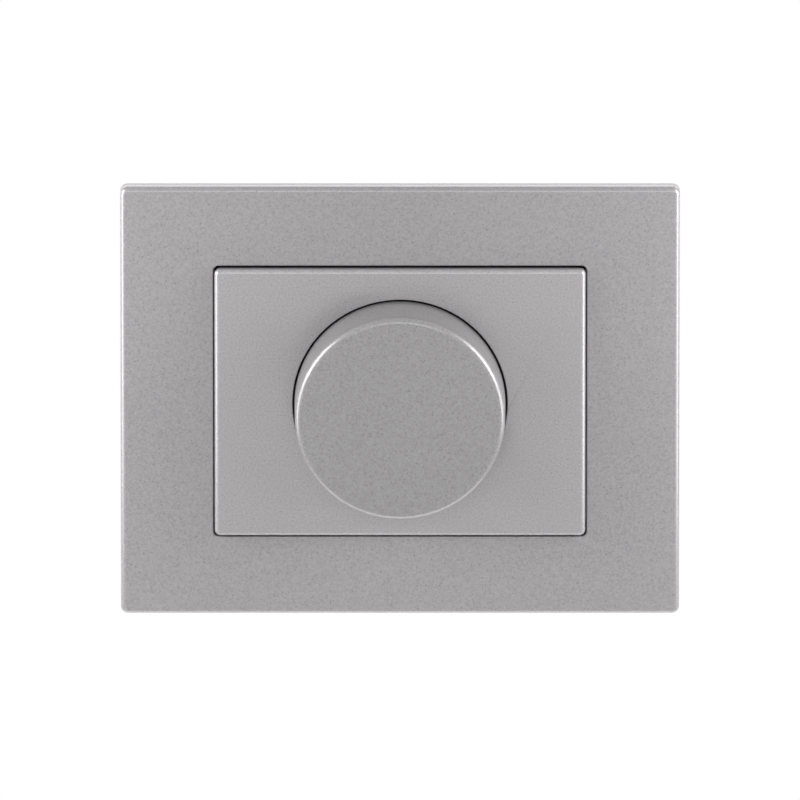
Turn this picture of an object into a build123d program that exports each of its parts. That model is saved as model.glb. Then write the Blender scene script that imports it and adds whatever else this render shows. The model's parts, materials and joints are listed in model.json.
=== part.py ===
from build123d import *
import os
from math import cos, radians, sin, sqrt, tan

# A rotary dimmer for a round flush box: cover frame, centre plate, push-and-turn knob,
# and the insert behind them. Millimetres. x runs right, z runs up and the room is at -y.
# The origin is on the shaft's axis in the wall's plane. "Out" is the distance in front
# of the wall, so a place with out = 10 has y = -10, and what is in the box is below 0.

# fits
running = 0.05           # radial clearance of a shaft or a sliding key
ease = 0.15              # side clearance of a piece that drops in place
apart = 0.4              # air between things that move past each other
root = 0.2               # depth that a rib or boss is sunk into the wall it grows from
past = 1.0               # how far a cut runs on past a face

# wall box and its screws
fixing_spacing = 60.0
fixing_slot_width = 4.2
fixing_slot_length = 7.2
levelling_arc = 16.0     # degrees of turn that the upper and lower slots allow

# cover frame
frame_beyond_side = 17.5  # of the frame beyond the strap, left and right
frame_beyond_end = 6.6   # the same above and below
frame_depth = 9.5        # from the wall to the frame's face
frame_side = 3.2         # straight part of the side, from the face back
frame_taper = 21.0       # degrees, of the skirt behind it
frame_wall = 2.0
frame_corner = 1.4
frame_edge = 1.0
window_width = 70.8
window_height = 53.4
window_corner = 1.0
window_rim = 0.3
collar_wall = 1.5
frame_rib = 1.2
frame_rib_height = 1.7
catch_foot = 2.0         # from the wall to the foot of a frame catch
catch_lead = 0.8         # slope that leads the catch in

# centre plate
plate_gap_side = 0.25
plate_gap_end = 0.42
plate_proud = 1.3        # stands in front of the frame's face
plate_wall = 1.8
plate_corner = 1.1
plate_edge = 0.9
well_rim = 0.15

# knob
knob_diameter = 40.0
knob_reach = 11.0        # in front of the centre plate
knob_sunk = 1.7          # of its skirt inside the plate's well
knob_gap = 0.4
knob_draft = 0.4         # degrees
knob_edge = 1.3
knob_wall = 2.0
knob_rib = 1.2
knob_rib_height = 5.5
hub_radius = 4.8
clip_gauge = 0.7
clip_height = 1.6
clip_mouth = 3.0
press_travel = 1.2
turn_range = 300.0       # degrees between the stops

# shaft, bushing and nut
shaft_radius = 3.0
flat_offset = 1.6        # from the axis to the shaft's flat
thread_radius = 4.9
nut_across = 14.0
nut_height = 2.0
washer_gauge = 0.5
washer_radius = 7.6
washer_teeth = 10
thread_chamfer = 0.4
thread_over = 0.5        # of the bushing in front of the nut
bushing_flange_radius = 6.5
stop_collar_radius = 4.3
stop_collar_length = 0.8

# mounting strap
strap_size = 71.0
strap_gauge = 1.2
strap_corner = 4.0
lip_length = 44.0
lip_reach = 5.4          # height of the folded lips above the wall
catch_spread = 14.0      # frame catches, left and right of the middle
catch_width = 6.0
catch_gauge = 1.2
catch_bite = 0.9
lip_window_back = 2.2    # from the wall to the lip's window
lip_bridge = 1.0         # of the lip, in front of its window
corner_hole_radius = 1.7
corner_hole_inset = 5.7

# insert
insert_radius = 26.0     # round outline, cut flat at the sides, top and bottom
insert_side = 20.6
insert_end = 23.0
insert_wall = 1.5
cover_gauge = 1.5
dome_radius = 18.0
dome_wall = 1.6
dome_pad = 2.0           # height of the pad that the centre plate rests on
spigot_gauge = 1.2
spigot_length = 2.0
housing_chamfer = 0.6
ledge_gauge = 1.2
ledge_reach = 2.4
rear_room = 9.0          # behind the circuit board, for terminals and fuse
board_gauge = 1.6

# potentiometer
pot_radius = 11.0
pot_wall = 1.5
rotor_radius = 8.0
rotor_gauge = 2.0
rotor_lug = 24.0         # degrees taken by the rotor's stop lug
lug_height = 1.2
track_inner = 5.6
track_outer = 7.6
track_break = 4.0        # gap in the track, at the stop
tag_pitch = 3.0
tag_width = 1.2
tag_gauge = 0.5
track_gauge = 0.2
track_board_gauge = 1.2
wiper_height = 0.65
wiper_gauge = 0.3
wiper_width = 4.0
wiper_length = 3.4
dimple_radius = 0.6

# push switch
switch_size = 14.0
switch_depth = 10.3
switch_bore = 9.0
switch_floor = 1.4
shaft_tail = 1.5         # of the shaft inside the switch
plunger_length = 2.8
spring_radius = 2.7
spring_wire = 0.6
bridge_gauge = 0.3
contact_radius = 0.7
contact_spread = 3.3     # of the fixed contacts, left and right of the middle
contact_height = 3.5     # of their middles above the axis
bridge_width = 1.0
spring_turns = 3.5
spring_spigot = 1.6
plunger_ease = 0.1
contact_gap_left = 0.1   # when the knob is pressed home

# claws
claw_height = 7.0        # of their middles, above and below the axis
claw_width = 7.8
claw_gauge = 1.2
claw_length = 18.5
claw_foot = 6.7          # from the leg's inner face to the tips of the teeth
claw_swing = 12.0        # degrees
claw_web = 3.0           # solid part of the leg, before it forks round the screw
tongue_width = 1.8
claw_screw_radius = 1.45
claw_head_radius = 2.6
claw_screw_offset = 3.7  # outside the insert's flat side
claw_screw_tail = 4.0    # of the screw behind the claw
tooth_width = 1.6
tooth_depth = 1.1
tooth_pitch = 3.6

# screws and terminals
screw_radius = 1.45
screw_head_radius = 2.75
screw_head_height = 1.6
driver_slot = 0.7
housing_screw_length = 14.0
boss_spare = 3.2         # of the boss's bore behind its screw
boss_radius = 2.6
boss_side = 14.8
boss_end = 16.6
terminal_pitch = 8.2
terminal_width = 6.4
terminal_height = 8.0
terminal_depth = 6.4
wire_radius = 1.6
wire_entry_radius = 1.8
terminal_screw_radius = 1.45
terminal_head_radius = 2.4
terminal_head_height = 1.4
terminal_lift = 0.3      # above the housing's floor
clamp_pin = 0.8

# parts on the circuit board
fuse_radius = 2.5
fuse_length = 20.0
fuse_height = 10.5       # above the axis
fuse_glass = 0.5
fuse_cap_depth = 5.0
fuse_cap_gauge = 0.25
fuse_clip_gauge = 0.5
fuse_clip_width = 4.0
fuse_clip_inset = 2.6    # from the fuse's end to the middle of its clip
fuse_stand = 1.2         # between the fuse and the board
rod_radius = 2.5
rod_length = 22.0
rod_margin = 1.8         # air between the winding's ends and the housing's round wall
winding_gauge = 1.6
winding_turns = 12
sink_gauge = 1.5
sink_height = 20.0
sink_side = 16.2         # from the axis to the sink's inner face
sink_depth = 12.6        # in front of the board
sink_foot = 6.0
triac_width = 9.6
triac_gauge = 4.2
triac_body = 5.4
triac_length = 10.2
triac_stand = 2.2        # of the package above the board
triac_hole = 8.0         # from the package's foot to its hole
triac_tab = 1.2
triac_bore = 1.7
triac_screw_radius = 1.5
triac_screw_length = 4.0
triac_head_radius = 2.6
leg_pitch = 2.5
leg_width = 0.8
leg_gauge = 0.5
box_stand = 0.5          # of a boxed capacitor above the board
box_edge = 0.4
film_width = 6.0
film_length = 17.0
film_height = 9.0
film_pitch = 12.0
film_side = 15.0         # from the axis to its middle, to the left
film_drop = 1.0          # of its middle below the axis
timing_width = 7.2
timing_gauge = 3.5
timing_height = 6.0
timing_pitch = 5.0
timing_drop = 16.5
lead_width = 0.7
lead_radius = 0.3
body_edge = 0.3
lead_reach = 1.2         # of a lead past the end of its part, before the bend
axial_stand = 1.6        # from the board to an axial part's middle
resistor_radius = 1.2
resistor_length = 6.2
resistor_pitch = 11.0
diac_radius = 1.0
diac_length = 4.2
diac_side = 10.5

# places that follow from the sizes above
frame_width = strap_size + 2 * frame_beyond_side
frame_height = strap_size + 2 * frame_beyond_end
side_back = frame_depth - frame_side
skirt_inset = side_back * tan(radians(frame_taper))
frame_ceiling = frame_depth - frame_wall
frame_rib_back = frame_ceiling - frame_rib_height
plate_face = frame_depth + plate_proud
plate_width = window_width - 2 * plate_gap_side
plate_height = window_height - 2 * plate_gap_end
knob_radius = knob_diameter / 2
knob_face = plate_face + knob_reach
knob_back = plate_face - knob_sunk
knob_ceiling = knob_face - knob_wall
well_radius = knob_radius + knob_gap
well_front = knob_back - press_travel - apart
well_back = well_front - plate_wall
nut_back = well_front + washer_gauge
nut_front = nut_back + nut_height
thread_front = nut_front + thread_over
hub_back = thread_front + press_travel + apart
shaft_front = knob_ceiling - ease
dome_front = well_back - dome_pad
pot_front = dome_front - dome_wall
bushing_back = pot_front - pot_wall
stop_collar_back = bushing_back - stop_collar_length
rotor_front = stop_collar_back - press_travel - apart
rotor_back = rotor_front - rotor_gauge
track_front = rotor_back - wiper_height - running
track_board_front = track_front - track_gauge
pot_back = track_board_front - track_board_gauge
shaft_back = pot_back - shaft_tail
plunger_back = shaft_back - plunger_length
bridge_back = plunger_back - bridge_gauge
contact_front = bridge_back - press_travel - contact_gap_left
board_front = pot_back - switch_depth
switch_seat = board_front + switch_floor
board_back = board_front - board_gauge
housing_floor = board_back - rear_room
housing_back = housing_floor - insert_wall
half_strap = strap_size / 2
leg_inner = insert_side + 2 * ease
claw_pivot_side = leg_inner + claw_gauge / 2
claw_pivot_out = -claw_gauge / 2 - ease
claw_back = claw_pivot_out - claw_length
claw_screw_side = insert_side + claw_screw_offset
claw_turn = radians(claw_swing)
fuse_out = board_back - fuse_radius - fuse_stand
strap_hole_radius = dome_radius + ease
frame_catch_inner = half_strap + ease
screw_bosses = ((-boss_side, boss_end), (boss_side, -boss_end))
terminal_places = (-terminal_pitch, 0, terminal_pitch)
terminal_row = terminal_pitch + terminal_width / 2
row_room = sqrt((insert_radius - insert_wall - ease) ** 2 - terminal_row ** 2)
terminal_z = terminal_height / 2 - min(insert_end - insert_wall - ease, row_room)
terminal_back = housing_floor + terminal_lift
terminal_front = terminal_back + terminal_depth
terminal_middle = (terminal_back + terminal_front) / 2
boss_bore_back = strap_gauge - housing_screw_length - boss_spare
triac_back = board_front + triac_stand
triac_hole_out = triac_back + triac_hole
choke_out = board_front + rod_radius + winding_gauge + apart
winding_length = winding_turns * winding_gauge
winding_radius = rod_radius + running + winding_gauge
rod_room = sqrt((insert_radius - insert_wall - rod_margin) ** 2 - (winding_length / 2) ** 2)
rod_height = rod_room - winding_radius
axial_out = board_back - axial_stand


def wall_plane(out):
    return Plane.XZ.offset(out)


def slab(outline, back, front):
    return extrude(wall_plane(back) * outline, front - back)


def disc(radius, back, front, x=0, z=0):
    return slab(Pos(x, z) * Circle(radius), back, front)


def block(width, height, back, front, x=0, z=0):
    return slab(Pos(x, z) * Rectangle(width, height), back, front)


def rounded(width, height, corner):
    return RectangleRounded(width, height, corner)


def turned(*profile):
    """A solid of revolution on the shaft's axis, from (radius, out) points."""
    outline = Polyline([(radius, -out) for radius, out in profile], close=True)
    return revolve(make_face(outline), Axis.Y)


def side_section(points, width, x=0):
    """A section seen from the side, from (out, z) points, made width wide in x."""
    outline = make_face(Polyline([(-out, z) for out, z in points], close=True))
    return Pos(x, 0, 0) * extrude(Plane.YZ * outline, width / 2, both=True)


def plan_section(points, height, z=0):
    """A section seen from above, from (x, out) points, made height tall in z."""
    outline = make_face(Polyline([(x, -out) for x, out in points], close=True))
    return Pos(0, 0, z) * extrude(outline, height / 2, both=True)


def lying_rod(radius, length, z, out, x=0):
    return Pos(x, -out, z) * Rot(0, 90, 0) * Cylinder(radius, length)


def half_turned(shape):
    """The same piece on the other side of the axis."""
    return Rot(0, 180, 0) * shape


def front_edges(shape):
    return shape.faces().sort_by(Axis.Y)[0].edges()


def insert_outline(inset=0.0):
    flats = Rectangle(2 * (insert_side - inset), 2 * (insert_end - inset))
    return Circle(insert_radius - inset) & flats


def d_section(radius, flat):
    return Circle(radius) - Pos(0, flat + radius) * Rectangle(2 * radius, 2 * radius)


def slotted_screw(radius, length, head_radius, head_height):
    """A pan-headed screw that points along +y, with the underside of its head at y = 0."""
    shank = extrude(Plane.XZ * Circle(radius), -length)
    head = extrude(Plane.XZ * Circle(head_radius), head_height)
    head = fillet(head.edges().sort_by(Axis.Y)[0], 0.35 * head_height)
    slot = Pos(0, -head_height, 0) * Box(3 * head_radius, head_height, driver_slot)
    return shank + head - slot


def frame_shell(inset, front, back_extra=0.0):
    """The frame's outer form, or the hollow inside it when it is set in by a wall."""
    wide = rounded(frame_width - 2 * inset, frame_height - 2 * inset, frame_corner)
    narrow_inset = 2 * (inset + skirt_inset)
    narrow = rounded(frame_width - narrow_inset, frame_height - narrow_inset, frame_corner)
    skirt = loft([wall_plane(0) * narrow, wall_plane(side_back) * wide], ruled=True)
    shell = skirt + slab(wide, side_back, front)
    if back_extra:
        shell += slab(narrow, -back_extra, 0)
    return shell


def frame_catch():
    """One moulded catch: a leg outside the strap's lip with a nose in the lip's window."""
    inner = frame_catch_inner
    tip = inner - catch_bite
    outer = inner + catch_gauge
    nose_front = lip_reach - lip_bridge - ease
    top = frame_ceiling + root
    points = [
        (top, inner), (top, outer), (catch_foot, outer), (catch_foot, inner),
        (nose_front - catch_lead, tip), (nose_front, tip), (nose_front, inner),
    ]
    return side_section(points, catch_width)


def outer_frame():
    shell = frame_shell(0, frame_depth)
    shell = fillet(front_edges(shell), frame_edge)
    shell -= frame_shell(frame_wall, frame_ceiling, back_extra=past)
    window = rounded(window_width, window_height, window_corner)
    collar = rounded(
        window_width + 2 * collar_wall, window_height + 2 * collar_wall, window_corner + collar_wall
    )
    rib_front = frame_ceiling + root
    shell += slab(collar, strap_gauge, rib_front)
    side_span = (frame_width - window_width) / 2 - collar_wall - frame_wall / 2
    end_span = (frame_height - window_height) / 2 - collar_wall - frame_wall / 2
    side_middle = window_width / 2 + collar_wall + side_span / 2
    end_middle = window_height / 2 + collar_wall + end_span / 2
    for sign in (-1, 1):
        for step in (-1, 0, 1):
            shell += block(side_span, frame_rib, frame_rib_back, rib_front,
                           sign * side_middle, step * window_height / 3)
            shell += block(frame_rib, end_span, frame_rib_back, rib_front,
                           step * window_width / 3, sign * end_middle)
        for side in (-catch_spread, catch_spread):
            catch = frame_catch() if sign > 0 else half_turned(frame_catch())
            shell += Pos(side, 0, 0) * catch
    shell -= slab(window, -past, frame_depth + past)
    rim = shell.faces().sort_by(Axis.Y)[0].inner_wires()[0].edges()
    return fillet(rim, window_rim)


def centre_plate():
    outline = rounded(plate_width, plate_height, plate_corner)
    tray = slab(outline, strap_gauge, plate_face)
    tray = fillet(front_edges(tray), plate_edge)
    inside = rounded(plate_width - 2 * plate_wall, plate_height - 2 * plate_wall, plate_corner / 2)
    tray -= slab(inside, 0, plate_face - plate_wall)
    cup_radius = well_radius + plate_wall
    tray += disc(cup_radius, well_back, plate_face - plate_wall / 2)
    rib_front = plate_face - plate_wall / 2
    start = cup_radius - plate_wall / 2
    for angle in (0, 90, 180, 270):
        reach = (plate_width if angle % 180 == 0 else plate_height) / 2 - plate_wall / 2
        rib = Rot(0, 0, angle) * Pos((start + reach) / 2, 0) * Rectangle(reach - start, frame_rib)
        tray += slab(rib, well_back, rib_front)
    tray -= disc(well_radius, well_front, plate_face + past)
    tray -= disc(thread_radius + ease, well_back - past, well_front + past)
    mouth = tray.edges().filter_by(GeomType.CIRCLE).filter_by(lambda e: abs(e.radius - well_radius) < 0.01)
    return fillet(mouth.sort_by(Axis.Y)[0], well_rim)


def knob():
    lean = tan(radians(knob_draft))
    shrink = (knob_face - knob_back) * lean
    inner_base = knob_radius - knob_wall
    inner_top = inner_base - (knob_ceiling - knob_back) * lean
    cap = turned(
        (0, knob_face), (knob_radius - shrink, knob_face), (knob_radius, knob_back),
        (inner_base, knob_back), (inner_top, knob_ceiling), (0, knob_ceiling),
    )
    rim = cap.edges().filter_by(GeomType.CIRCLE).sort_by(Axis.Y)[0]
    cap = fillet(rim, knob_edge)
    rib_back = knob_ceiling - knob_rib_height
    start = hub_radius - root
    length = inner_top + root - start
    for angle in (45, 135, 225, 315):
        rib = Rot(0, 0, angle) * Pos(start + length / 2, 0) * Rectangle(length, knob_rib)
        cap += slab(rib, rib_back, knob_ceiling + root)
    cap += disc(hub_radius, hub_back, knob_ceiling + root)
    cap -= slab(d_section(shaft_radius + running, flat_offset + running), hub_back - past, knob_ceiling)
    return cap - block(2.2 * hub_radius, driver_slot, hub_back - past, rib_back)


def knob_spring_clip():
    """A split ring of spring strip that closes the knob's slotted hub on the shaft."""
    ring = Circle(hub_radius + clip_gauge) - Circle(hub_radius)
    ring -= Pos(0, hub_radius) * Rectangle(clip_mouth, 2 * hub_radius)
    return slab(ring, hub_back + apart, hub_back + apart + clip_height)


def ring_nut():
    hexagon = RegularPolygon(nut_across / 2, 6, major_radius=False)
    bore = disc(thread_radius + running, nut_back - past, nut_front + past)
    nut = slab(hexagon, nut_back, nut_front) - bore
    corners = disc(nut_across / 2 / cos(radians(30)) - 0.4, nut_back, nut_front)
    return nut & chamfer(corners.edges().sort_by(Axis.Y)[0], 0.5)


def lock_washer():
    washer = Circle(washer_radius) - Circle(thread_radius + ease)
    for step in range(washer_teeth):
        gap = Rot(0, 0, 360 * step / washer_teeth) * Pos(thread_radius, 0) * Rectangle(2.4, 0.9)
        washer -= gap
    return slab(washer, well_front, nut_back)


def threaded_bushing():
    bore = shaft_radius + running
    return turned(
        (bore, thread_front), (thread_radius - thread_chamfer, thread_front),
        (thread_radius, thread_front - thread_chamfer),
        (thread_radius, pot_front), (bushing_flange_radius, pot_front),
        (bushing_flange_radius, bushing_back), (bore, bushing_back),
    )


def control_shaft():
    """Round in the bushing, with a flat for the knob at one end and for the rotor at the other."""
    flat = d_section(shaft_radius, flat_offset)
    shaft = slab(flat, hub_back, shaft_front)
    shaft += disc(shaft_radius, bushing_back, hub_back)
    shaft += disc(stop_collar_radius, stop_collar_back, bushing_back)
    shaft += slab(flat, shaft_back, stop_collar_back)
    return shaft


def mounting_strap():
    """A folded steel plate: lips above and below take the frame's catches."""
    sheet = rounded(strap_size, strap_size, strap_corner)
    strap = slab(sheet, 0, strap_gauge)
    cut_front = strap_gauge + past
    corner = half_strap - corner_hole_inset
    lip_middle = half_strap - strap_gauge / 2
    window_front = lip_reach - lip_bridge
    for sign in (-1, 1):
        strap += block(lip_length, strap_gauge, 0, lip_reach, 0, sign * lip_middle)
        for end in (-1, 1):
            strap -= block(strap_gauge, 3 * strap_gauge, -past, lip_reach + past,
                           end * (lip_length + strap_gauge) / 2, sign * half_strap)
        fold = strap.edges().filter_by(Axis.X).filter_by(
            lambda e: abs(e.center().Z - sign * half_strap) < 0.01 and abs(e.center().Y) < 0.01
            and abs(e.center().X) < 0.01)
        strap = fillet(fold, 0.9 * strap_gauge)
        for side in (-catch_spread, catch_spread):
            strap -= block(catch_width + 2 * apart, 3 * strap_gauge, lip_window_back, window_front,
                           side, sign * half_strap)
        slot = Pos(sign * fixing_spacing / 2, 0) * SlotOverall(fixing_slot_length, fixing_slot_width)
        strap -= slab(slot, -past, cut_front)
        arc = CenterArc((0, 0), fixing_spacing / 2, sign * 90 - levelling_arc / 2, levelling_arc)
        strap -= slab(SlotArc(arc, fixing_slot_width), -past, cut_front)
        for end in (-1, 1):
            strap -= disc(corner_hole_radius, -past, cut_front, sign * corner, end * corner)
    strap -= disc(strap_hole_radius, -past, cut_front)
    for x, z in screw_bosses:
        strap -= disc(screw_radius + ease, -past, cut_front, x, z)
    swept = (2 * strap_gauge + claw_gauge) * sin(claw_turn) + ease
    cuts = [disc(claw_screw_radius + ease, -past, cut_front, claw_screw_side, claw_height)]
    for z in tongue_places():
        cuts.append(block(claw_gauge + swept, tongue_width + 2 * ease, -past, cut_front,
                          claw_pivot_side - swept / 2, z))
    for cut in cuts:
        strap = strap - cut - half_turned(cut)
    return strap


def tongue_places():
    spread = (claw_width - tongue_width) / 2
    return (claw_height - spread, claw_height + spread)


def claw():
    """A folded steel claw: tongues in the strap, a round shoulder that rocks behind it,
    a forked leg, and a foot with teeth."""
    inner, outer = leg_inner, leg_inner + claw_gauge
    tip = leg_inner + claw_foot
    foot_front = claw_back + claw_gauge
    leg = plan_section(
        [(inner, claw_pivot_out), (outer, claw_pivot_out), (outer, foot_front),
         (tip - claw_gauge / 2, foot_front), (tip, claw_back), (inner, claw_back)],
        claw_width, claw_height)
    bend = leg.edges().filter_by(Axis.Z).filter_by(
        lambda e: abs(e.center().X - inner) < 0.01 and abs(e.center().Y + claw_back) < 0.01)
    leg = fillet(bend, claw_gauge)
    leg += Pos(claw_pivot_side, -claw_pivot_out, claw_height) * Cylinder(claw_gauge / 2, claw_width)
    tongue_front = 2 * strap_gauge
    for z in tongue_places():
        leg += block(claw_gauge, tongue_width, claw_pivot_out, tongue_front, claw_pivot_side, z)
    fork = 2 * (claw_screw_radius + ease)
    fork_front = claw_pivot_out - claw_web
    leg -= block(2 * (claw_screw_side - inner), fork, claw_back - past, fork_front, inner, claw_height)
    leg -= disc(fork / 2, claw_back - past, fork_front, claw_screw_side, claw_height)
    notch = Polyline(
        [(tip + running, -tooth_width / 2), (tip + running, tooth_width / 2), (tip - tooth_depth, 0)],
        close=True)
    for step in (-tooth_pitch / 2, tooth_pitch / 2):
        tooth_gap = Pos(0, claw_height + step) * make_face(notch)
        leg -= slab(tooth_gap, claw_back - past, foot_front + past)
    return leg


def claw_screws():
    length = claw_length + claw_screw_tail
    one = slotted_screw(claw_screw_radius, length, claw_head_radius, screw_head_height)
    one = Pos(claw_screw_side, -strap_gauge, claw_height) * one
    return one + half_turned(one)


def insert_cover():
    flange = slab(insert_outline(), -cover_gauge, 0)
    spigot_inset = insert_wall + ease
    spigot = insert_outline(spigot_inset) - insert_outline(spigot_inset + spigot_gauge)
    spigot_back = -cover_gauge - spigot_length
    cover = flange + slab(spigot, spigot_back, -cover_gauge)
    cover += disc(dome_radius, -cover_gauge, dome_front)
    pad = disc(washer_radius, dome_front, well_back)
    cover += pad
    cover -= disc(dome_radius - dome_wall, spigot_back - past, pot_front)
    cover -= disc(thread_radius + ease, pot_front - past, well_back + past)
    for x, z in screw_bosses:
        cover -= disc(screw_radius + ease, -cover_gauge - past, past, x, z)
        cover -= disc(boss_radius + ease, spigot_back - past, -cover_gauge, x, z)
    return cover


def rear_housing():
    """A moulded cup with two screw bosses, ledges for the board and terminal walls."""
    heel_front = housing_back + housing_chamfer
    narrow = wall_plane(housing_back) * insert_outline(housing_chamfer)
    shell = loft([narrow, wall_plane(heel_front) * insert_outline()], ruled=True)
    shell += slab(insert_outline(), heel_front, -cover_gauge)
    shell -= slab(insert_outline(insert_wall), housing_floor, 0)
    keep = insert_outline(insert_wall / 2)
    for x, z in screw_bosses:
        boss = slab((Pos(x, z) * Circle(boss_radius)) & keep, housing_floor - root, -cover_gauge)
        shell += boss
        shell -= disc(screw_radius + running, boss_bore_back, 0, x, z)
    inner_end = insert_end - insert_wall
    ledge_place = inner_end + root - ledge_reach / 2
    terminal_wall = terminal_z + terminal_height / 2 + inner_end + root
    for side in (-terminal_pitch / 2, terminal_pitch / 2):
        for sign in (-1, 1):
            shell += block(ledge_gauge, ledge_reach, housing_floor - root, board_back,
                           side, sign * ledge_place)
        shell += block(ledge_gauge, terminal_wall, housing_floor - root, terminal_front,
                       side, terminal_wall / 2 - inner_end - root)
    for x in terminal_places:
        shell -= Pos(x, -terminal_middle, -insert_end) * Cylinder(wire_entry_radius, 4 * insert_wall)
        shell -= disc(terminal_head_radius + ease, housing_back - past, housing_floor + root, x, terminal_z)
    return shell


def terminal_clamps():
    """Three clamps: a drilled block on a pin that stands on the board."""
    clamps = Part()
    pin_z = terminal_z + terminal_height / 2 - clamp_pin
    for x in terminal_places:
        clamp = block(terminal_width, terminal_height, terminal_back, terminal_front, x, terminal_z)
        clamp = chamfer(clamp.edges().filter_by(Axis.Y), 0.5)
        wire = Pos(x, -terminal_middle, terminal_z) * Cylinder(wire_radius, 2 * terminal_height)
        clamp = clamp - wire
        clamp -= disc(terminal_screw_radius + running, terminal_back - past, terminal_middle, x, terminal_z)
        clamp += block(2 * clamp_pin, clamp_pin, terminal_front - root, board_back, x, pin_z)
        clamps += clamp
    return clamps


def terminal_screws():
    screws = Part()
    length = terminal_depth / 2
    screw = slotted_screw(terminal_screw_radius, length, terminal_head_radius, terminal_head_height)
    for x in terminal_places:
        screws += Pos(x, -terminal_back, terminal_z) * Rot(0, 0, 180) * screw
    return screws


def housing_screws():
    screws = Part()
    screw = slotted_screw(screw_radius, housing_screw_length, screw_head_radius, screw_head_height)
    for x, z in screw_bosses:
        screws += Pos(x, -strap_gauge, z) * screw
    return screws


def circuit_board():
    clear = insert_wall + 2 * ease
    board = insert_outline(clear)
    for x, z in screw_bosses:
        board -= Pos(x, z) * Circle(boss_radius + 2 * ease)
        board -= Pos(1.3 * x, 1.3 * z) * Rectangle(2 * boss_radius, 2 * boss_radius)
    return slab(board, board_back, board_front)


def pot_case():
    """Moulded cup with a hole for the bushing's flange and a stop rib for the rotor."""
    case = disc(pot_radius, pot_back, pot_front)
    case = fillet(case.edges().sort_by(Axis.Y)[0], 0.5)
    bore = pot_radius - pot_wall
    case -= disc(bore, pot_back - past, bushing_back)
    case -= disc(bushing_flange_radius, bushing_back - past, pot_front + past)
    stop_angle = 360 - turn_range - rotor_lug - 1
    stop = sector(bore + root, rotor_radius + 2 * ease, -90, stop_angle)
    return case + slab(stop, rotor_back, bushing_back)


def sector(outer, inner, middle, angle):
    """Part of a ring, centred on the middle direction, in degrees."""
    reach = 2 * outer
    half = radians(angle / 2)
    wedge = make_face(Polyline(
        [(0, 0), (reach * cos(half), -reach * sin(half)), (reach * cos(half), reach * sin(half))],
        close=True))
    return (Circle(outer) - Circle(inner)) & (Rot(0, 0, middle) * wedge)


def track_board():
    board = Circle(pot_radius - pot_wall - ease) - Circle(shaft_radius + apart)
    return slab(board, pot_back, track_board_front)


def resistive_track():
    ring = Circle(track_outer) - Circle(track_inner)
    gap = Pos(0, -track_outer) * Rectangle(track_break, track_outer)
    return slab(ring - gap, track_board_front, track_front)


def track_tags():
    """Three solder tags from the track board's edge down to the circuit board."""
    tags = Part()
    outside = pot_radius + tag_gauge
    reach = outside - (pot_radius - pot_wall - tag_gauge)
    for x in (-tag_pitch, 0, tag_pitch):
        tags += block(tag_width, tag_gauge, board_front, track_board_front, x, tag_gauge / 2 - outside)
        tags += block(tag_width, reach, pot_back - tag_gauge, pot_back, x, reach / 2 - outside)
    return tags


def wiper_rotor():
    rotor = Circle(rotor_radius) + sector(rotor_radius + lug_height, rotor_radius - 1, 90, rotor_lug)
    return slab(rotor - d_section(shaft_radius + running, flat_offset + running), rotor_back, rotor_front)


def wiper_contact():
    """A bronze arm riveted under the rotor, with a dimple that runs on the track."""
    dimple_z = (track_inner + track_outer) / 2
    arm = Pos(0, dimple_z + dimple_radius * 2 - wiper_length / 2) * rounded(
        wiper_width, wiper_length, dimple_radius)
    contact = slab(arm, rotor_back - wiper_gauge, rotor_back)
    return contact + disc(dimple_radius, rotor_back - wiper_height, rotor_back - wiper_gauge, 0, dimple_z)


def switch_case():
    case = block(switch_size, switch_size, board_front, pot_back)
    case = chamfer(case.edges().filter_by(Axis.Y), 0.6)
    case -= block(switch_bore, switch_bore, switch_seat, pot_back + past)
    for x in (-contact_spread, contact_spread):
        case -= disc(contact_radius + running, board_front - past, switch_seat + past, x, contact_height)
    return case


def switch_plunger():
    side = switch_bore - 2 * plunger_ease
    plunger = block(side, side, plunger_back, shaft_back)
    plunger = chamfer(plunger.edges().filter_by(Axis.Y), 0.3)
    return plunger + disc(spring_radius - spring_wire, plunger_back - spring_spigot, plunger_back)


def return_spring():
    length = plunger_back - switch_seat - spring_wire
    path = Helix(length / spring_turns, length, spring_radius)
    section = Plane(path @ 0, z_dir=path % 0) * Circle(spring_wire / 2)
    coil = sweep(section, path, is_frenet=True)
    return Pos(0, -(switch_seat + spring_wire / 2), 0) * Rot(90, 0, 0) * coil


def contact_bridge():
    """A strip under the plunger's upper edge, clear of the spring."""
    side = switch_bore - 2 * apart
    return block(side, bridge_width, bridge_back, plunger_back, 0, (side - bridge_width) / 2)


def fixed_contacts():
    contacts = Part()
    for x in (-contact_spread, contact_spread):
        contacts += disc(contact_radius, board_front, contact_front, x, contact_height)
    return contacts


def heat_sink():
    """An aluminium angle that stands on the board beside the switch."""
    sink_front = board_front + sink_depth
    upright = block(sink_gauge, sink_height, board_front, sink_front, sink_side + sink_gauge / 2, 0)
    foot_middle = sink_side + sink_gauge - sink_foot / 2
    foot = block(sink_foot, sink_height, board_front, board_front + sink_gauge, foot_middle, 0)
    sink = upright + foot
    heel = sink.edges().filter_by(Axis.Z).filter_by(
        lambda e: abs(e.center().X - sink_side - sink_gauge) < 0.01
        and abs(e.center().Y + board_front) < 0.01)
    sink = fillet(heel, sink_gauge)
    return sink - lying_rod(triac_screw_radius + ease, 4 * sink_gauge, 0, triac_hole_out, sink_side)


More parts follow.
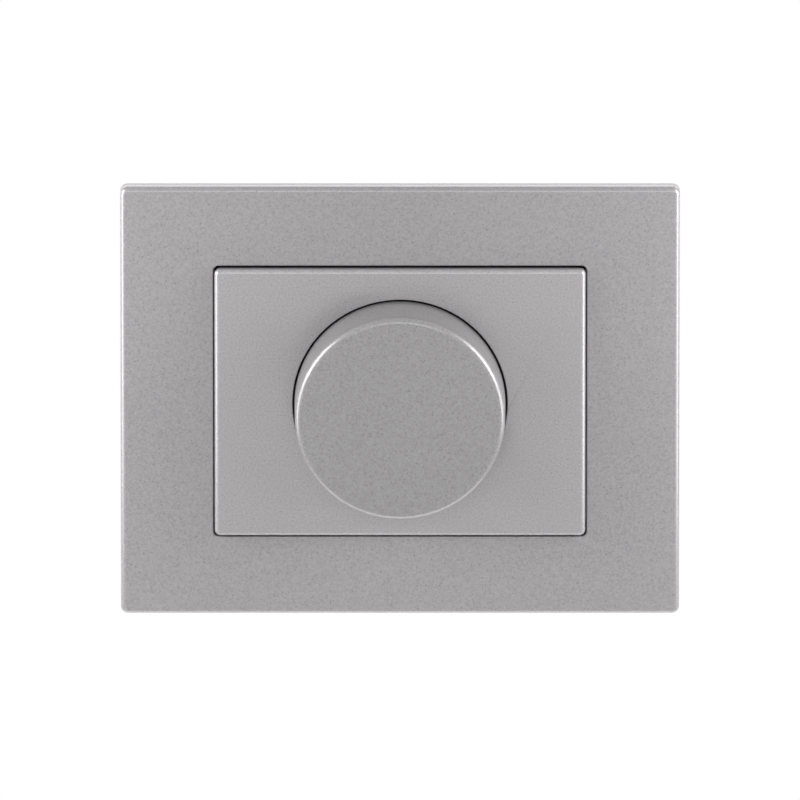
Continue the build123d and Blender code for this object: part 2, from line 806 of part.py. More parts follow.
def triac():
    """Moulded body and cooling tab in one package, with three legs."""
    body_front = triac_back + triac_body
    face = sink_side - triac_gauge
    body = plan_section(
        [(face, triac_back), (sink_side, triac_back), (sink_side, body_front),
         (face + ease, body_front)], triac_width)
    tab = block(triac_tab, triac_width, triac_back, triac_back + triac_length, sink_side - triac_tab / 2)
    package = body + tab - lying_rod(triac_bore, 4 * triac_tab, 0, triac_hole_out, sink_side)
    for step in (-leg_pitch, 0, leg_pitch):
        package += block(leg_gauge, leg_width, board_front + sink_gauge, triac_back + root,
                         sink_side - triac_gauge / 2 - leg_gauge, step)
    return package


def triac_screw():
    screw = slotted_screw(
        triac_screw_radius, triac_screw_length, triac_head_radius, terminal_head_height)
    return Pos(sink_side - triac_tab, -triac_hole_out, 0) * Rot(0, 0, -90) * screw


def choke_core():
    rod = lying_rod(rod_radius, rod_length, rod_height, choke_out)
    return chamfer(rod.edges().filter_by(GeomType.CIRCLE), 0.3)


def choke_winding():
    """Close turns of thick wire round the rod, as one ridged sleeve."""
    length = winding_length
    inner = rod_radius + running
    sleeve = Cylinder(winding_radius, length) - Cylinder(inner, 2 * length)
    groove_radius = inner + 1.15 * winding_gauge
    for step in range(1, winding_turns):
        height = step * winding_gauge - length / 2
        sleeve -= Pos(0, 0, height) * Torus(groove_radius, 0.32 * winding_gauge)
    lying = Pos(0, -choke_out, rod_height) * Rot(0, 90, 0) * sleeve
    end = length / 2 - lead_width
    for sign in (-1, 1):
        lying += block(lead_width, lead_width, board_front, choke_out - rod_radius - ease,
                       sign * end, rod_height)
    return lying


def film_capacitor():
    return boxed_part(film_width, film_length, film_height, -film_side, -film_drop, 0, film_pitch)


def timing_capacitor():
    return boxed_part(timing_width, timing_gauge, timing_height, 0, -timing_drop, timing_pitch, 0)


def boxed_part(width, length, height, x, z, pitch_x, pitch_z):
    """A small moulded box on two leads, standing on the board's front."""
    back = board_front + box_stand
    box = fillet(block(width, length, back, back + height, x, z).edges(), box_edge)
    for sign in (-1, 1):
        box += block(lead_width, lead_width, board_front, back + root,
                     x + sign * pitch_x / 2, z + sign * pitch_z / 2)
    return box


def axial_part(radius, length, x):
    """A small part on one bent wire, lying over the board's back."""
    body = lying_rod(radius, length, 0, axial_out, x)
    body = fillet(body.edges().filter_by(GeomType.CIRCLE), body_edge)
    reach = length / 2 + lead_reach
    corners = [(x - reach, -board_back), (x - reach, -axial_out), (x + reach, -axial_out),
               (x + reach, -board_back)]
    wire = FilletPolyline(*corners, radius=2 * lead_radius)
    section = Plane(wire @ 0, z_dir=wire % 0) * Circle(lead_radius)
    return body + sweep(section, wire)


def resistors():
    one = axial_part(resistor_radius, resistor_length, -resistor_pitch)
    return one + axial_part(resistor_radius, resistor_length, 0)


def diac():
    return axial_part(diac_radius, diac_length, diac_side)


def fuse_tube():
    outer = fuse_radius - fuse_cap_gauge
    glass = Cylinder(outer, fuse_length - 4 * fuse_cap_gauge) - Cylinder(outer - fuse_glass, fuse_length)
    return Pos(0, -fuse_out, fuse_height) * Rot(0, 90, 0) * glass


def fuse_caps():
    """Two drawn cups on the ends of the glass."""
    caps = Part()
    for sign in (-1, 1):
        middle = sign * (fuse_length - fuse_cap_depth) / 2
        inward = middle - sign * 2 * fuse_cap_gauge
        cap = Pos(middle, 0, 0) * Rot(0, 90, 0) * Cylinder(fuse_radius, fuse_cap_depth)
        hollow = Pos(inward, 0, 0) * Rot(0, 90, 0) * Cylinder(fuse_radius - fuse_cap_gauge, fuse_cap_depth)
        caps += Pos(0, -fuse_out, fuse_height) * (cap - hollow)
    return caps


def fuse_clips():
    """Two sprung channels on feet, open at the back for the fuse."""
    clips = Part()
    for sign in (-1, 1):
        middle = sign * (fuse_length / 2 - fuse_clip_inset)
        ring = Circle(fuse_radius + fuse_clip_gauge) - Circle(fuse_radius)
        ring -= Pos(fuse_radius, 0) * Rectangle(1.4 * fuse_radius, 3 * fuse_radius)
        clip = extrude(Plane.YZ * ring, fuse_clip_width / 2, both=True)
        clip = Pos(middle, -fuse_out, fuse_height) * clip
        foot_back = fuse_out + fuse_radius + fuse_clip_gauge / 2
        foot = block(fuse_clip_width, fuse_radius, foot_back, board_back, middle, fuse_height)
        clips += clip + foot
    return clips


nodes = {
    "outer_frame": outer_frame(),
    "centre_plate": centre_plate(),
    "knob": knob(),
    "knob_spring_clip": knob_spring_clip(),
    "ring_nut": ring_nut(),
    "lock_washer": lock_washer(),
    "threaded_bushing": threaded_bushing(),
    "control_shaft": control_shaft(),
    "mounting_strap": mounting_strap(),
    "right_claw": claw(),
    "left_claw": half_turned(claw()),
    "claw_screws": claw_screws(),
    "insert_cover": insert_cover(),
    "rear_housing": rear_housing(),
    "housing_screws": housing_screws(),
    "circuit_board": circuit_board(),
    "pot_case": pot_case(),
    "track_board": track_board(),
    "resistive_track": resistive_track(),
    "track_tags": track_tags(),
    "wiper_rotor": wiper_rotor(),
    "wiper_contact": wiper_contact(),
    "switch_case": switch_case(),
    "switch_plunger": switch_plunger(),
    "return_spring": return_spring(),
    "contact_bridge": contact_bridge(),
    "fixed_contacts": fixed_contacts(),
    "triac": triac(),
    "heat_sink": heat_sink(),
    "triac_screw": triac_screw(),
    "choke_core": choke_core(),
    "choke_winding": choke_winding(),
    "film_capacitor": film_capacitor(),
    "timing_capacitor": timing_capacitor(),
    "diac": diac(),
    "resistors": resistors(),
    "fuse_tube": fuse_tube(),
    "fuse_caps": fuse_caps(),
    "fuse_clips": fuse_clips(),
    "terminal_clamps": terminal_clamps(),
    "terminal_screws": terminal_screws(),
}

os.makedirs("parts", exist_ok=True)
for name, shape in nodes.items():
    export_step(shape, f"parts/{name}.step")
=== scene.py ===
import bpy
import bmesh
import json
from math import cos, pi, radians, sin
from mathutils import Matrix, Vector


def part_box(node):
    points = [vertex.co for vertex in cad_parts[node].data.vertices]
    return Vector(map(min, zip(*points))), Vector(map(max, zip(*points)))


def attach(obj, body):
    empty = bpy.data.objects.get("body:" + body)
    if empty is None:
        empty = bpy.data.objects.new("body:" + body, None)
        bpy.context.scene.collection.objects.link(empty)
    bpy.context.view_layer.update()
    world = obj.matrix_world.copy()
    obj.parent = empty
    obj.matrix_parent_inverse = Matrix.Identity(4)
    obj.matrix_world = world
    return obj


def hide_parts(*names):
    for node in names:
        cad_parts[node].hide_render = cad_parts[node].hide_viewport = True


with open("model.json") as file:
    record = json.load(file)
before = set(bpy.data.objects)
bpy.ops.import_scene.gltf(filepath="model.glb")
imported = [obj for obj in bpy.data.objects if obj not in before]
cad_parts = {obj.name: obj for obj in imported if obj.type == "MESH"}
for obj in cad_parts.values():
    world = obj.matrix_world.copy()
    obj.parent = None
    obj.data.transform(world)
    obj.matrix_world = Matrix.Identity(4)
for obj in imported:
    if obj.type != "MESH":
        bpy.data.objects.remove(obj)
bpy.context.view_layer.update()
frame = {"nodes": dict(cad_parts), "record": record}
scene = bpy.context.scene
scene.view_settings.view_transform = "Standard"
print("frame loaded:", len(frame["nodes"]), "nodes")

mm = 0.001


# A shader socket that takes part in sums: 1 - mask * 0.3 adds the Math nodes it needs
class Wire:
    def __init__(self, finish, socket):
        self.finish, self.socket = finish, socket

    def sum(self, operation, first, second):
        return self.finish.node("ShaderNodeMath", {"operation": operation}, {0: first, 1: second})

    def __add__(self, other): return self.sum("ADD", self, other)
    def __radd__(self, other): return self.sum("ADD", other, self)
    def __sub__(self, other): return self.sum("SUBTRACT", self, other)
    def __rsub__(self, other): return self.sum("SUBTRACT", other, self)
    def __mul__(self, other): return self.sum("MULTIPLY", self, other)
    def __rmul__(self, other): return self.sum("MULTIPLY", other, self)
    def __pow__(self, other): return self.sum("POWER", self, other)
    def above(self, other): return self.sum("GREATER_THAN", self, other)
    def below(self, other): return self.sum("LESS_THAN", self, other)
    def most(self, other): return self.sum("MAXIMUM", self, other)
    def size(self): return self.sum("ABSOLUTE", self, 0.0)


# One material and the few ways its nodes are added
class Finish:
    def __init__(self, name):
        self.material = bpy.data.materials.new(name)
        self.material.use_nodes = True
        self.tree = self.material.node_tree
        self.shader = self.tree.nodes["Principled BSDF"]

    def node(self, kind, settings=None, inputs=None, output=0):
        made = self.tree.nodes.new(kind)
        for key, value in (settings or {}).items():
            if key == "stops":
                self.setStops(made.color_ramp, value)
            else:
                setattr(made, key, value)
        for key, value in (inputs or {}).items():
            self.feed(made.inputs[key], value)
        return Wire(self, made.outputs[output])

    def feed(self, socket, value):
        if isinstance(value, Wire):
            self.tree.links.new(value.socket, socket)
        elif isinstance(value, tuple) and len(value) == 3 and socket.type == "RGBA":
            socket.default_value = (*value, 1)
        else:
            socket.default_value = value

    def setStops(self, ramp, stops):
        while len(ramp.elements) < len(stops):
            ramp.elements.new(0.5)
        for element, (place, grey) in zip(ramp.elements, stops):
            element.position, element.color = place, (grey, grey, grey, 1)

    def place(self, stretch=(1, 1, 1)):
        here = self.node("ShaderNodeTexCoord", output="Object")
        if stretch == (1, 1, 1):
            return here
        return self.node("ShaderNodeMapping", None, {"Vector": here, "Scale": stretch})

    def along(self, axis):
        return self.node("ShaderNodeSeparateXYZ", None, {"Vector": self.place()}, axis)

    def noise(self, size, detail=2.0, stretch=(1, 1, 1), rough=0.5):
        return self.node("ShaderNodeTexNoise", None, {
            "Vector": self.place(stretch), "Scale": 1 / size, "Detail": detail,
            "Roughness": rough})

    def ramp(self, value, *stops):
        return self.node("ShaderNodeValToRGB", {"stops": stops}, {"Fac": value})

    def mix(self, mask, first, second):
        return self.node("ShaderNodeMix", {"data_type": "RGBA"}, {0: mask, 6: first, 7: second}, 2)

    def bump(self, height, depth):
        return self.node("ShaderNodeBump", None, {"Height": height, "Distance": depth})

    def principled(self, **inputs):
        for key, value in inputs.items():
            self.feed(self.shader.inputs[key.replace("_", " ")], value)
        return self.material


# Fine metallic paint on the frame, the centre plate and the knob
paint = {
    "frame": ((0.317, 0.302, 0.312), (0.420, 0.400, 0.413)),    # dark and light flakes
    # The plate's colours are lighter than the frame's: painted light. The knob's are darker:
    # painted shade
    "plate": ((0.358, 0.343, 0.353), (0.470, 0.449, 0.463)),
    "knob": ((0.296, 0.290, 0.293), (0.392, 0.383, 0.388)),
    "grain": 0.36 * mm,
    "grainRoughness": 0.7,     # of the noise
    "grainShare": 0.95,        # of the tone; the rest is cloud
    "cloud": 30 * mm,
    "darkTone": 0.36,
    "lightTone": 0.64,
    "metallic": 0.32,
    "roughness": 0.24,
    "roughnessSpread": 0.10,
    "grainDepth": 0.008 * mm,
    # Near-black bare moulding, which also paints shade into the gaps round the plate and the well
    # round the knob
    "bareAndShade": (0.038, 0.038, 0.040),
    "bareRoughness": 0.5,
}

# The paint reaches the outside only. The gaps, the well and the backs stay bare moulding, near
# black: partly the plastic's own colour, partly painted shade deepening the gaps and the well
paintReach = {
    "windowDepth": 1.8 * mm,   # behind the frame's face, on the walls of its window
    "frameSkin": 1.0 * mm,     # of the frame's outer wall
    "straightSide": 3.2 * mm,  # of the frame, before its skirt slopes inwards
    "skirtSlope": 0.384,
    "plateSide": 1.6 * mm,     # behind the plate's face, on its outer wall
    "wellRim": 0.25 * mm,      # behind the plate's face, in the well
    "wellOutside": 0.46 * mm,  # from the knob's skirt to the well's wall
    "knobSunk": 0.6 * mm,      # behind the plate's face, on the knob
}


# True behind a depth measured from a node's front
def bareAndShadeBehind(finish, nodeName, depth):
    return finish.along("Y").above(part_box(nodeName)[0].y + depth)


def frameBareAndShade(finish):
    front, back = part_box("outer_frame")
    skirt = front.y + paintReach["straightSide"]
    slope = (finish.along("Y") - skirt).most(0.0) * paintReach["skirtSlope"]
    inside = (finish.along("X").size() + slope).below(back.x - paintReach["frameSkin"])
    inside = inside * (finish.along("Z").size() + slope).below(back.z - paintReach["frameSkin"])
    return bareAndShadeBehind(finish, "outer_frame", paintReach["windowDepth"]) * inside


# The plate's outer wall and its well, and the knob's sunk side below, turn near black: painted
# shade in the gaps
def plateBareAndShade(finish):
    x, z = finish.along("X"), finish.along("Z")
    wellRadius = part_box("knob")[1].x + paintReach["wellOutside"]
    inWell = ((x * x + z * z) ** 0.5).below(wellRadius)
    inWell = inWell * bareAndShadeBehind(finish, "centre_plate", paintReach["wellRim"])
    return inWell.most(bareAndShadeBehind(finish, "centre_plate", paintReach["plateSide"]))


def knobBareAndShade(finish):
    return bareAndShadeBehind(finish, "centre_plate", paintReach["knobSunk"])


def paintFinish(name, bareAndShadeMask, dark, light):
    finish = Finish(name)
    grain = finish.noise(paint["grain"], 3.0, rough=paint["grainRoughness"])
    cloud = finish.noise(paint["cloud"], 1.0)
    share = paint["grainShare"]
    tone = finish.ramp(grain * share + cloud * (1 - share),
                       (paint["darkTone"], 0.0), (paint["lightTone"], 1.0))
    # Where the mask holds, the near-black bare colour replaces the paint: partly unpainted
    # plastic, partly painted shade
    bareAndShade = bareAndShadeMask(finish)
    rougher = (paint["bareRoughness"] - paint["roughness"]) * bareAndShade
    return finish.principled(
        Base_Color=finish.mix(bareAndShade, finish.mix(tone, dark, light), paint["bareAndShade"]),
        Metallic=paint["metallic"] * (1 - bareAndShade),
        Roughness=paint["roughness"] + paint["roughnessSpread"] * grain + rougher,
        Normal=finish.bump(grain, paint["grainDepth"]))


def shades(colour, spread):
    return tuple(c * (1 - spread) for c in colour), tuple(min(1, c * (1 + spread)) for c in colour)


# Moulded plastics, lacquers and enamels inside the insert
moulding = {
    "speck": 0.25 * mm,
    "speckShare": 0.4,
    "cloud": 9 * mm,
    "spread": 0.12,            # of the colour, to either side
    "roughnessSpread": 0.12,
    "speckDepth": 0.006 * mm,
}


def plasticFinish(name, colour, roughness, spread=moulding["spread"]):
    finish = Finish(name)
    speck = finish.noise(moulding["speck"])
    cloud = finish.noise(moulding["cloud"])
    tone = speck * moulding["speckShare"] + cloud * (1 - moulding["speckShare"])
    return finish.principled(
        Base_Color=finish.mix(tone, *shades(colour, spread)),
        Roughness=roughness + moulding["roughnessSpread"] * speck,
        Normal=finish.bump(speck, moulding["speckDepth"]))


# Turned, drawn and stamped metal: fine tool lines and faint stains
metalwork = {
    "line": 0.12 * mm,
    "lineShare": 0.5,
    "lineDepth": 0.003 * mm,
    "stain": 6 * mm,
    "spread": 0.10,
    "roughnessSpread": 0.16,
}


def metalFinish(name, colour, roughness, stretch=(1, 1, 1)):
    finish = Finish(name)
    line = finish.noise(metalwork["line"], stretch=stretch)
    stain = finish.noise(metalwork["stain"], 3.0)
    tone = line * metalwork["lineShare"] + stain * (1 - metalwork["lineShare"])
    return finish.principled(
        Base_Color=finish.mix(tone, *shades(colour, metalwork["spread"])), Metallic=1.0,
        Roughness=roughness + metalwork["roughnessSpread"] * stain,
        Normal=finish.bump(line, metalwork["lineDepth"]))


# Zinc plated sheet: faint spangle and rolling lines
zinc = {
    "dark": (0.46, 0.47, 0.48),
    "light": (0.74, 0.74, 0.71),
    "spangle": 2.2 * mm,
    "rolling": 0.15 * mm,
    "rollingStretch": (0.05, 1, 1),
    "rollingDepth": 0.002 * mm,
    "stain": 8 * mm,
    "roughness": 0.30,
}


def zincFinish():
    finish = Finish("zincSheet")
    spangle = finish.node("ShaderNodeTexVoronoi", {"feature": "F1"}, {
        "Vector": finish.place(), "Scale": 1 / zinc["spangle"], "Randomness": 1.0}, "Distance")
    rolling = finish.noise(zinc["rolling"], stretch=zinc["rollingStretch"])
    stain = finish.noise(zinc["stain"], 3.0)
    tone = 0.35 * spangle + 0.35 * rolling + 0.3 * stain
    return finish.principled(
        Base_Color=finish.mix(tone, zinc["dark"], zinc["light"]), Metallic=1.0,
        Roughness=zinc["roughness"] + 0.2 * stain + 0.1 * spangle,
        Normal=finish.bump(rolling, zinc["rollingDepth"]))


glass = {
    "colour": (0.92, 0.95, 0.95),
    "haze": 1.5 * mm,
    "roughness": 0.02,
    "roughnessSpread": 0.06,
    "index": 1.5,
}


def glassFinish():
    finish = Finish("fuseGlass")
    haze = finish.noise(glass["haze"])
    return finish.principled(
        Base_Color=finish.mix(haze, glass["colour"], (1, 1, 1)),
        Roughness=glass["roughness"] + glass["roughnessSpread"] * haze,
        Transmission_Weight=1.0, IOR=glass["index"])


# One finish for each material slot of the part: colour and roughness
finishes = {
    "silver_paint": paintFinish("framePaint", frameBareAndShade, *paint["frame"]),
    "zinc_steel": zincFinish(),
    "spring_steel": metalFinish("springSteel", (0.50, 0.50, 0.52), 0.28),
    "screw_steel": metalFinish("screwSteel", (0.62, 0.61, 0.57), 0.30),
    "housing_plastic": plasticFinish("housingPlastic", (0.30, 0.305, 0.30), 0.50, 0.06),
    "cover_plastic": plasticFinish("coverPlastic", (0.040, 0.040, 0.043), 0.45),
    "brass": metalFinish("turnedBrass", (0.70, 0.48, 0.20), 0.25),
    "shaft_metal": metalFinish("groundShaft", (0.60, 0.60, 0.61), 0.22, (1, 0.05, 1)),
    "board": plasticFinish("solderMask", (0.015, 0.085, 0.030), 0.30),
    "phenolic": plasticFinish("phenolicSheet", (0.110, 0.038, 0.012), 0.45),
    "carbon": plasticFinish("carbonTrack", (0.010, 0.010, 0.010), 0.38),
    "black_plastic": plasticFinish("blackPlastic", (0.018, 0.018, 0.020), 0.42),
    "white_plastic": plasticFinish("whitePlastic", (0.66, 0.65, 0.60), 0.45, 0.05),
    "bronze": metalFinish("springBronze", (0.60, 0.34, 0.15), 0.28),
    "contact_silver": metalFinish("contactSilver", (0.82, 0.81, 0.77), 0.25),
    "tinned": metalFinish("tinnedMetal", (0.66, 0.66, 0.65), 0.33),
    "aluminium": metalFinish("bareAluminium", (0.72, 0.73, 0.74), 0.36, (1, 1, 0.05)),
    "ferrite": plasticFinish("ferriteRod", (0.022, 0.022, 0.024), 0.55),
    "enamelled_copper": metalFinish("enamelledCopper", (0.50, 0.17, 0.06), 0.25),
    "film_box": plasticFinish("capacitorBox", (0.60, 0.36, 0.03), 0.35),
    "glass": glassFinish(),
    "resistor_body": plasticFinish("resistorLacquer", (0.45, 0.32, 0.17), 0.35),
    "diac_body": plasticFinish("diacBead", (0.05, 0.10, 0.30), 0.15),
}

# The plate and the knob share the frame's slot, but their copies of the paint are lighter on the
# plate, painted light, and darker on the knob, painted shade
litAndShadedPaintCopies = {
    "centre_plate": paintFinish("platePaint", plateBareAndShade, *paint["plate"]),
    "knob": paintFinish("knobPaint", knobBareAndShade, *paint["knob"]),
}
print("finishes made:", len(finishes) + len(litAndShadedPaintCopies))

slotOf = {row["node"]: row["material_slot"] for row in frame["record"]["subparts"]}
bodyOf = {}
for body, nodes in frame["record"]["behaviour"]["bodies"].items():
    bodyOf.update((node, body) for node in nodes)


def finishOf(nodeName):
    return litAndShadedPaintCopies.get(nodeName, finishes[slotOf[nodeName]])


def wear(piece, finish):
    piece.data.materials.clear()
    piece.data.materials.append(finish)


for nodeName, node in frame["nodes"].items():
    wear(node, finishOf(nodeName))

# The large pieces, shaded smooth between their sharp edges
smoothPieces = {
    "outer_frame": "coverFrame",
    "centre_plate": "centrePlate",
    "knob": "knobCap",
    "mounting_strap": "mountingStrap",
    "rear_housing": "rearHousing",
    "insert_cover": "insertCover",
    "right_claw": "rightClaw",
    "left_claw": "leftClaw",
}
smoothing = {
    "merge": 0.002 * mm,
    "flatWithin": 0.05,        # degrees, for triangles that lie in one face
    "sharpFrom": 28,           # degrees
}


# A copy of a CAD node with its loose triangles joined up
def smoothCopy(nodeName, pieceName):
    mesh = frame["nodes"][nodeName].data.copy()
    mesh.name = pieceName
    form = bmesh.new()
    form.from_mesh(mesh)
    bmesh.ops.remove_doubles(form, verts=form.verts, dist=smoothing["merge"])
    bmesh.ops.dissolve_limit(form, angle_limit=radians(smoothing["flatWithin"]),
                             verts=form.verts, edges=form.edges)
    form.to_mesh(mesh)
    form.free()
    for name in ("custom_normal", "sharp_face", "sharp_edge"):
        if name in mesh.attributes:
            mesh.attributes.remove(mesh.attributes[name])
    mesh.shade_smooth()
    mesh.set_sharp_from_angle(angle=radians(smoothing["sharpFrom"]))
    piece = bpy.data.objects.new(pieceName, mesh)
    scene.collection.objects.link(piece)
    wear(piece, finishOf(nodeName))
    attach(piece, bodyOf[nodeName])
    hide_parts(nodeName)


for nodeName, pieceName in smoothPieces.items():
    smoothCopy(nodeName, pieceName)
print("smooth pieces made:", len(smoothPieces))

# A helix of wire by Geometry Nodes, for the threads of the claw screws and the choke's winding
helixInputs = {
    "Coil Radius": "NodeSocketFloat",
    "Wire Radius": "NodeSocketFloat",
    "Length": "NodeSocketFloat",
    "Turns": "NodeSocketFloat",
    "Steps": "NodeSocketInt",          # round one turn
    "Sides": "NodeSocketInt",          # of the wire's section
    "Copies": "NodeSocketInt",
    "First Place": "NodeSocketVector",
    "Next Place": "NodeSocketVector",  # from one copy to the next
    "Turned": "NodeSocketVector",
    "Smooth": "NodeSocketBool",
    "Finish": "NodeSocketMaterial",
}


def helixTree():
    tree = bpy.data.node_groups.new("helix", "GeometryNodeTree")
    tree.is_modifier = True
    names = {}
    for name, kind in helixInputs.items():
        socket = tree.interface.new_socket(name=name, in_out="INPUT", socket_type=kind)
        names[name] = socket.identifier
    tree.interface.new_socket(
        name="Geometry", in_out="OUTPUT", socket_type="NodeSocketGeometry")
    given = tree.nodes.new("NodeGroupInput").outputs
    result = tree.nodes.new("NodeGroupOutput").inputs

    def add(kind, links, settings=None):
        made = tree.nodes.new(kind)
        for key, value in (settings or {}).items():
            setattr(made, key, value)
        for key, value in links.items():
            if isinstance(value, bpy.types.NodeSocket):
                tree.links.new(value, made.inputs[key])
            else:
                made.inputs[key].default_value = value
        return made.outputs[0]

    spiral = add("GeometryNodeCurveSpiral", {
        "Resolution": given["Steps"], "Rotations": given["Turns"],
        "Start Radius": given["Coil Radius"], "End Radius": given["Coil Radius"],
        "Height": given["Length"]})
    upright = add("GeometryNodeSetCurveNormal", {"Curve": spiral}, {"mode": "Z_UP"})
    section = add("GeometryNodeCurvePrimitiveCircle", {
        "Resolution": given["Sides"], "Radius": given["Wire Radius"]})
    coil = add("GeometryNodeCurveToMesh", {
        "Curve": upright, "Profile Curve": section, "Fill Caps": True})
    places = add("GeometryNodeMeshLine", {
        "Count": given["Copies"], "Start Location": given["First Place"],
        "Offset": given["Next Place"]}, {"mode": "OFFSET"})
    turned = add("FunctionNodeEulerToRotation", {"Euler": given["Turned"]})
    copies = add("GeometryNodeInstanceOnPoints", {
        "Points": places, "Instance": coil, "Rotation": turned})
    whole = add("GeometryNodeRealizeInstances", {"Geometry": copies})
    shaded = add("GeometryNodeSetShadeSmooth", {
        "Geometry": whole, "Shade Smooth": given["Smooth"]})
    dressed = add("GeometryNodeSetMaterial", {"Geometry": shaded, "Material": given["Finish"]})
    tree.links.new(dressed, result["Geometry"])
    return tree, names


helix, helixNames = helixTree()


def helixPiece(pieceName, slotName, bodyName, values, replaced=None):
    piece = bpy.data.objects.new(pieceName, bpy.data.meshes.new(pieceName))
    scene.collection.objects.link(piece)
    coil = piece.modifiers.new("helix", "NODES")
    coil.node_group = helix
    for name, value in values.items():
        coil[helixNames[name]] = value
    coil[helixNames["Finish"]] = finishes[slotName]
    graph = bpy.context.evaluated_depsgraph_get()
    mesh = bpy.data.meshes.new_from_object(piece.evaluated_get(graph))
    piece.modifiers.remove(coil)
    form = bmesh.new()
    form.from_mesh(mesh)
    bmesh.ops.recalc_face_normals(form, faces=form.faces)
    form.to_mesh(mesh)
    form.free()
    piece.data = mesh
    wear(piece, finishes[slotName])
    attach(piece, bodyName)
    if replaced:
        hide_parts(replaced)


# The thread on the claw screws, one screw above the axis and one below
clawScrewThread = {
    "head": 2.6 * mm,          # radius of the screw's head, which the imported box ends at
    "height": 7.0 * mm,        # of the screws' axes, above and below the shaft's
    "start": 0.6 * mm,         # behind the wall's plane
    "tip": 0.3 * mm,           # plain end of the screw
    "pitch": 0.6 * mm,
    "shank": 1.45 * mm,        # radius
    "crest": 0.12 * mm,        # what the thread stands out from the shank
    "sunk": 0.13 * mm,
    "steps": 28,
    "sides": 4,
}
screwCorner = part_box("claw_screws")[1]
screwSide = screwCorner.x - clawScrewThread["head"]
threadLength = screwCorner.y - clawScrewThread["tip"] - clawScrewThread["start"]
helixPiece("clawScrewThreads", "screw_steel", "insert", {
    "Coil Radius": clawScrewThread["shank"] - clawScrewThread["sunk"],
    "Wire Radius": clawScrewThread["crest"] + clawScrewThread["sunk"],
    "Length": threadLength,
    "Turns": threadLength / clawScrewThread["pitch"],
    "Steps": clawScrewThread["steps"],
    "Sides": clawScrewThread["sides"],
    "Copies": 2,
    "First Place": (screwSide, clawScrewThread["start"], clawScrewThread["height"]),
    "Next Place": (-2 * screwSide, 0.0, -2 * clawScrewThread["height"]),
    "Turned": (-pi / 2, 0.0, 0.0),
    "Smooth": False})

# The choke's winding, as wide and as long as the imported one
chokeWire = {
    "gauge": 1.6 * mm,
    "drawn": 0.98,             # of the gauge, which leaves a hair between the turns
    "turns": 12,
    "steps": 40,
    "sides": 14,
}
coilFrom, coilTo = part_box("choke_winding")
coilMiddle = (coilFrom + coilTo) / 2
coilSize = coilTo - coilFrom
helixPiece("chokeWinding", "enamelled_copper", "insert", {
    "Coil Radius": (coilSize.z - chokeWire["gauge"]) / 2,
    "Wire Radius": chokeWire["drawn"] * chokeWire["gauge"] / 2,
    "Length": coilSize.x - chokeWire["gauge"],
    "Turns": float(chokeWire["turns"] - 1),
    "Steps": chokeWire["steps"],
    "Sides": chokeWire["sides"],
    "Copies": 1,
    "First Place": (coilFrom.x + chokeWire["gauge"] / 2, coilMiddle.y, coilMiddle.z),
    "Next Place": (0.0, 0.0, 0.0),
    "Turned": (0.0, pi / 2, 0.0),
    "Smooth": True}, "choke_winding")
print("threads and winding made")

# The stage: a white floor well below the part, pure white where it is far away
stageSizes = {
    "floorDrop": 0.150,
    "floorReach": 2.5,
    "floorColour": (0.93, 0.93, 0.93),
    "shadowReach": 0.08,       # round the part, where the floor shows the most shadow
    "shadowFade": 0.10,
    "shadowWhite": 0.55,       # share of pure white within that reach
}


def stageFinish(name):
    finish = Finish(name)
    seen = finish.node("ShaderNodeLightPath", output="Is Camera Ray")
    for ray in ("Is Glossy Ray", "Is Transmission Ray"):
        seen = seen.most(finish.node("ShaderNodeLightPath", output=ray))
    distance = finish.node(
        "ShaderNodeVectorMath", {"operation": "LENGTH"}, {0: finish.place()}, "Value")
    far = finish.node("ShaderNodeMapRange", None, {
        "Value": distance, "From Min": stageSizes["shadowReach"],
        "From Max": stageSizes["shadowReach"] + stageSizes["shadowFade"],
        "To Min": stageSizes["shadowWhite"], "To Max": 1.0})
    lit = finish.node("ShaderNodeBsdfDiffuse", None, {"Color": stageSizes["floorColour"]})
    glow = finish.node("ShaderNodeEmission", None, {"Color": (1, 1, 1), "Strength": 1.0})
    both = finish.node("ShaderNodeMixShader", None, {0: seen * far, 1: lit, 2: glow})
    finish.feed(finish.tree.nodes["Material Output"].inputs["Surface"], both)
    return finish.material


def makeFloor():
    reach = stageSizes["floorReach"]
    corners = [(-reach, -reach, 0), (reach, -reach, 0), (reach, reach, 0), (-reach, reach, 0)]
    mesh = bpy.data.meshes.new("floor")
    mesh.from_pydata(corners, [], [(0, 1, 2, 3)])
    floor = bpy.data.objects.new("floor", mesh)
    floor.location = (0, 0, -stageSizes["floorDrop"])
    scene.collection.objects.link(floor)
    wear(floor, stageFinish("paleFloor"))


# Softboxes: bearing from the front and rise above the level in degrees, distance and size in
# metres, and glow, where 1 is the white of the background. Each looks at the part
lighting = {
    "leftLow": {"bearing": -73, "rise": 0, "distance": 0.20, "size": (0.10, 0.14), "glow": 3.6},
    "rightLow": {"bearing": 73, "rise": 0, "distance": 0.20, "size": (0.10, 0.14), "glow": 3.6},
    "leftHigh": {"bearing": -73, "rise": 24, "distance": 0.20, "size": (0.10, 0.10), "glow": 7.4},
    "rightHigh": {"bearing": 73, "rise": 24, "distance": 0.20, "size": (0.10, 0.10), "glow": 7.4},
    "frontHigh": {"bearing": 0, "rise": 24, "distance": 0.80, "size": (0.5, 0.2), "glow": 1.9},
    "below": {"bearing": 0, "rise": -90, "distance": 0.148, "size": (0.26, 0.14), "glow": 1.2},
    "back": {"bearing": 180, "rise": 18, "distance": 0.90, "size": (0.9, 0.25), "glow": 1.45},
}
worldGlow = 0.30               # what the world gives the part, under a white backdrop


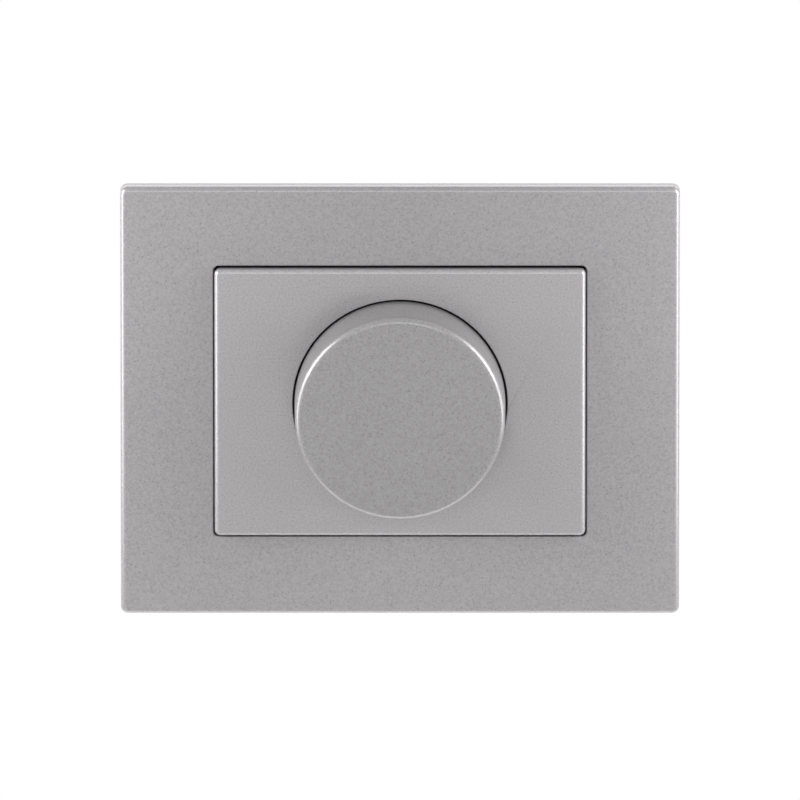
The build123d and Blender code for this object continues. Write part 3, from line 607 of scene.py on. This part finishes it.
def makeWorld():
    world = bpy.data.worlds.new("studio")
    scene.world = world
    world.use_nodes = True
    tree = world.node_tree
    tree.nodes.clear()
    path = tree.nodes.new("ShaderNodeLightPath")
    seen = path.outputs["Is Camera Ray"]
    for ray in ("Is Transmission Ray", "Is Glossy Ray"):
        either = tree.nodes.new("ShaderNodeMath")
        either.operation = "MAXIMUM"
        tree.links.new(seen, either.inputs[0])
        tree.links.new(path.outputs[ray], either.inputs[1])
        seen = either.outputs[0]
    strength = tree.nodes.new("ShaderNodeMapRange")
    strength.inputs["To Min"].default_value = worldGlow
    tree.links.new(seen, strength.inputs["Value"])
    background = tree.nodes.new("ShaderNodeBackground")
    background.inputs["Color"].default_value = (1, 1, 1, 1)
    tree.links.new(strength.outputs[0], background.inputs["Strength"])
    output = tree.nodes.new("ShaderNodeOutputWorld")
    tree.links.new(background.outputs[0], output.inputs["Surface"])


def softbox(name, bearing, rise, distance, size, glow):
    light = bpy.data.lights.new(name, "AREA")
    light.shape = "RECTANGLE"
    light.size, light.size_y = size
    light.energy = glow * pi * size[0] * size[1]
    lamp = bpy.data.objects.new(name, light)
    level = distance * cos(radians(rise))
    place = Vector((level * sin(radians(bearing)), -level * cos(radians(bearing)),
                    distance * sin(radians(rise))))
    lamp.location = place
    lamp.rotation_euler = (-place).to_track_quat("-Z", "Y").to_euler()
    lamp.visible_camera = False
    scene.collection.objects.link(lamp)


# The camera looks down a little through a long lens, as the photograph does
view = {
    "elevation": 16.3,         # degrees
    "lens": 1500.0,
    "sensor": 36.0,
    "across": 151.7 * mm,      # what the picture's width covers at the frame's face
    "lift": 0.28 * mm,         # the picture's centre above the face's centre
    "nearest": 0.1,
}


def makeCamera():
    data = bpy.data.cameras.new("camera")
    data.lens, data.sensor_width = view["lens"], view["sensor"]
    camera = bpy.data.objects.new("camera", data)
    rise = radians(view["elevation"])
    back = Vector((0, -cos(rise), sin(rise)))
    up = Vector((0, sin(rise), cos(rise)))
    face = Vector((0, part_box("outer_frame")[0].y, 0))
    distance = view["across"] * view["lens"] / view["sensor"]
    camera.location = face + up * view["lift"] + back * distance
    camera.rotation_mode = "QUATERNION"
    camera.rotation_quaternion = (-back).to_track_quat("-Z", "Y")
    data.clip_start, data.clip_end = view["nearest"], 2 * distance
    scene.collection.objects.link(camera)
    scene.camera = camera


makeFloor()
makeWorld()
for name, lamp in lighting.items():
    softbox(name + "Softbox", **lamp)
makeCamera()
print("stage, lamps and camera set")
